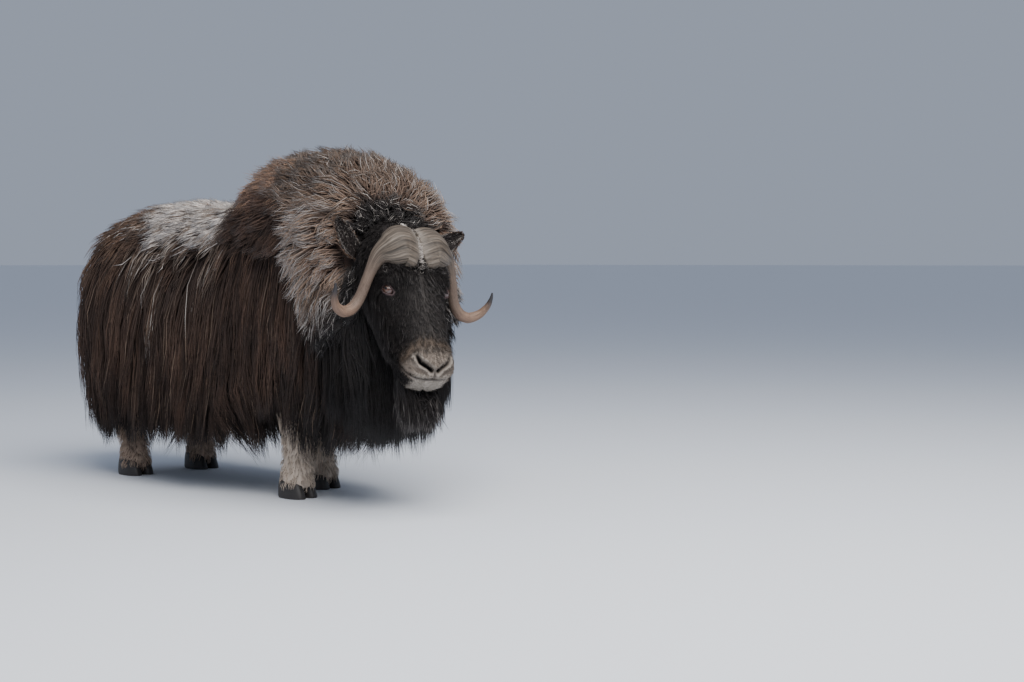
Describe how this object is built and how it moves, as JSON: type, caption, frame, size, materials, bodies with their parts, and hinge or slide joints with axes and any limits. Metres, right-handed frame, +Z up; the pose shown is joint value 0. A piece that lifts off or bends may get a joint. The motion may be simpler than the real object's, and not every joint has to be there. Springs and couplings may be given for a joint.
{
  "type": "muskox",
  "caption": "Standing bull muskox with a humped, long-haired body, hanging coat locks, a low turned head and curved horns.",
  "frame": {"origin": "bottom centre of the bounding box, on the floor under the hooves", "axes": "+X forward along the body, toward the head; +Y to the animal's left; +Z up"},
  "size_m": [2.279, 0.9394, 1.3934],
  "materials": {
    "coat": "long dark brown guard hair",
    "mane": "woolly tan-brown hair with pale tips",
    "face": "short dark hair",
    "leg_fur": "short pale beige hair",
    "horn": "ridged keratin, satin",
    "hoof": "dark keratin, satin",
    "eye": "wet, glossy dark brown"
  },
  "bodies": {
    "root": {"torso": "coat", "hindquarters": "coat", "tail": "coat", "neck": "mane", "head": "face", "lower_jaw": "face", "ear_right": "face", "ear_left": "face", "eye_right": "eye", "eye_left": "eye", "horn_right": "horn", "horn_left": "horn", "foreleg_right": "leg_fur", "foreleg_left": "leg_fur", "hindleg_right": "leg_fur", "hindleg_left": "leg_fur", "forehoof_right_outer": "hoof", "forehoof_right_inner": "hoof", "forehoof_left_outer": "hoof", "forehoof_left_inner": "hoof", "hindhoof_right_outer": "hoof", "hindhoof_right_inner": "hoof", "hindhoof_left_outer": "hoof", "hindhoof_left_inner": "hoof"}
  },
  "joints": []
}
